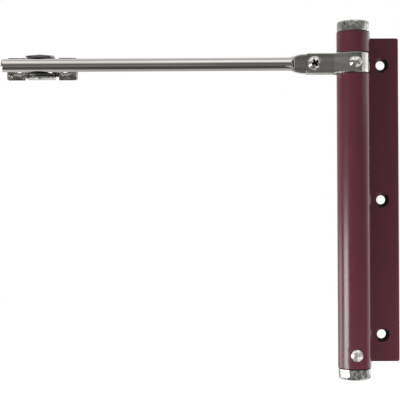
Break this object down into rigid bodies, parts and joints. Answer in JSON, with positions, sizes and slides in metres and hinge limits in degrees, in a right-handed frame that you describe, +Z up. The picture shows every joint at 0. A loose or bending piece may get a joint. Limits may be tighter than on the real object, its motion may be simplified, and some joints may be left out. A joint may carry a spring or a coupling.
{
  "type": "spring door closer",
  "caption": "Surface-mounted door closer: a flanged spring tube, a clamp strap that swings a round arm, and a roller guide that runs along the arm.",
  "frame": {"origin": "centre of the flange's middle screw hole on the mounting face", "axes": "+X across the door towards the flange's free edge with the arm lying along -X, +Y into the wall, +Z up along the tube"},
  "size_m": [0.242, 0.0289, 0.2157],
  "materials": {
    "brown_paint": "glossy red-brown stove enamel on an aluminium extrusion",
    "cap_chrome": "bright chrome plate on turned brass",
    "strap_plate": "bright chrome plate on pressed steel strip",
    "screw_nickel": "nickel plate on steel",
    "arm_chrome": "bright chrome plate on drawn round steel",
    "bracket_chrome": "bright chrome plate on pressed steel sheet",
    "black_nylon": "moulded black nylon",
    "turned_steel": "turned steel, oiled",
    "spring_steel": "coiled spring steel, oiled",
    "bush_nylon": "moulded natural nylon"
  },
  "bodies": {
    "body": {"housing": "brown_paint", "top_cap": "cap_chrome", "top_bush": "bush_nylon", "mid_bush": "bush_nylon", "tail_bush": "bush_nylon", "upper_washer": "bush_nylon", "lower_washer": "bush_nylon"},
    "swing": {"clamp_strap": "strap_plate", "hub": "turned_steel", "spindle": "turned_steel", "drive_pin": "screw_nickel", "spring_core": "turned_steel", "clamp_screw": "screw_nickel", "clamp_washer": "screw_nickel", "clamp_nut": "screw_nickel"},
    "arm": {"arm_rod": "arm_chrome"},
    "carriage": {"roller_axle": "bracket_chrome"},
    "bracket": {"guide_bracket": "bracket_chrome"},
    "roller": {"guide_roller": "black_nylon"},
    "tensioner": {"adjuster": "turned_steel", "bottom_cap": "cap_chrome", "torsion_spring": "spring_steel"},
    "lock": {"lock_screw": "screw_nickel"}
  },
  "joints": [
    {"name": "arm_swing", "type": "hinge", "parent": "body", "child": "swing", "pos_m": [-0.018, -0.01, 0.0825], "axis": [0, 0, 1], "range_deg": [0, 120], "stiffness_Nm_per_rad": 1.2, "springref_deg": -45.84, "deforming": ["torsion_spring"]},
    {"name": "arm_tilt", "type": "hinge", "parent": "swing", "child": "arm", "pos_m": [-0.0416, -0.01, 0.0825], "axis": [0, 1, 0], "range_deg": [-15, 15]},
    {"name": "guide_slide", "type": "slide", "parent": "arm", "child": "carriage", "axis": [1, 0, 0], "range_m": [-0.01, 0.12]},
    {"name": "guide_swivel", "type": "hinge", "parent": "carriage", "child": "bracket", "pos_m": [-0.209, -0.002, 0.0825], "axis": [0, 0, 1], "range_deg": [-25, 25]},
    {"name": "roller_spin", "type": "hinge", "parent": "carriage", "child": "roller", "pos_m": [-0.209, -0.002, 0.0825], "axis": [0, 0, 1], "continuous": true},
    {"name": "tension_turn", "type": "hinge", "parent": "body", "child": "tensioner", "pos_m": [-0.018, -0.01, -0.1], "axis": [0, 0, -1], "range_deg": [0, 720]},
    {"name": "lock_screw_out", "type": "slide", "parent": "body", "child": "lock", "axis": [0, -1, 0], "range_m": [0, 0.0025]}
  ],
  "couplings": [
    {"joint": "roller_spin", "follows": "guide_slide", "rad_per_m": -250}
  ]
}
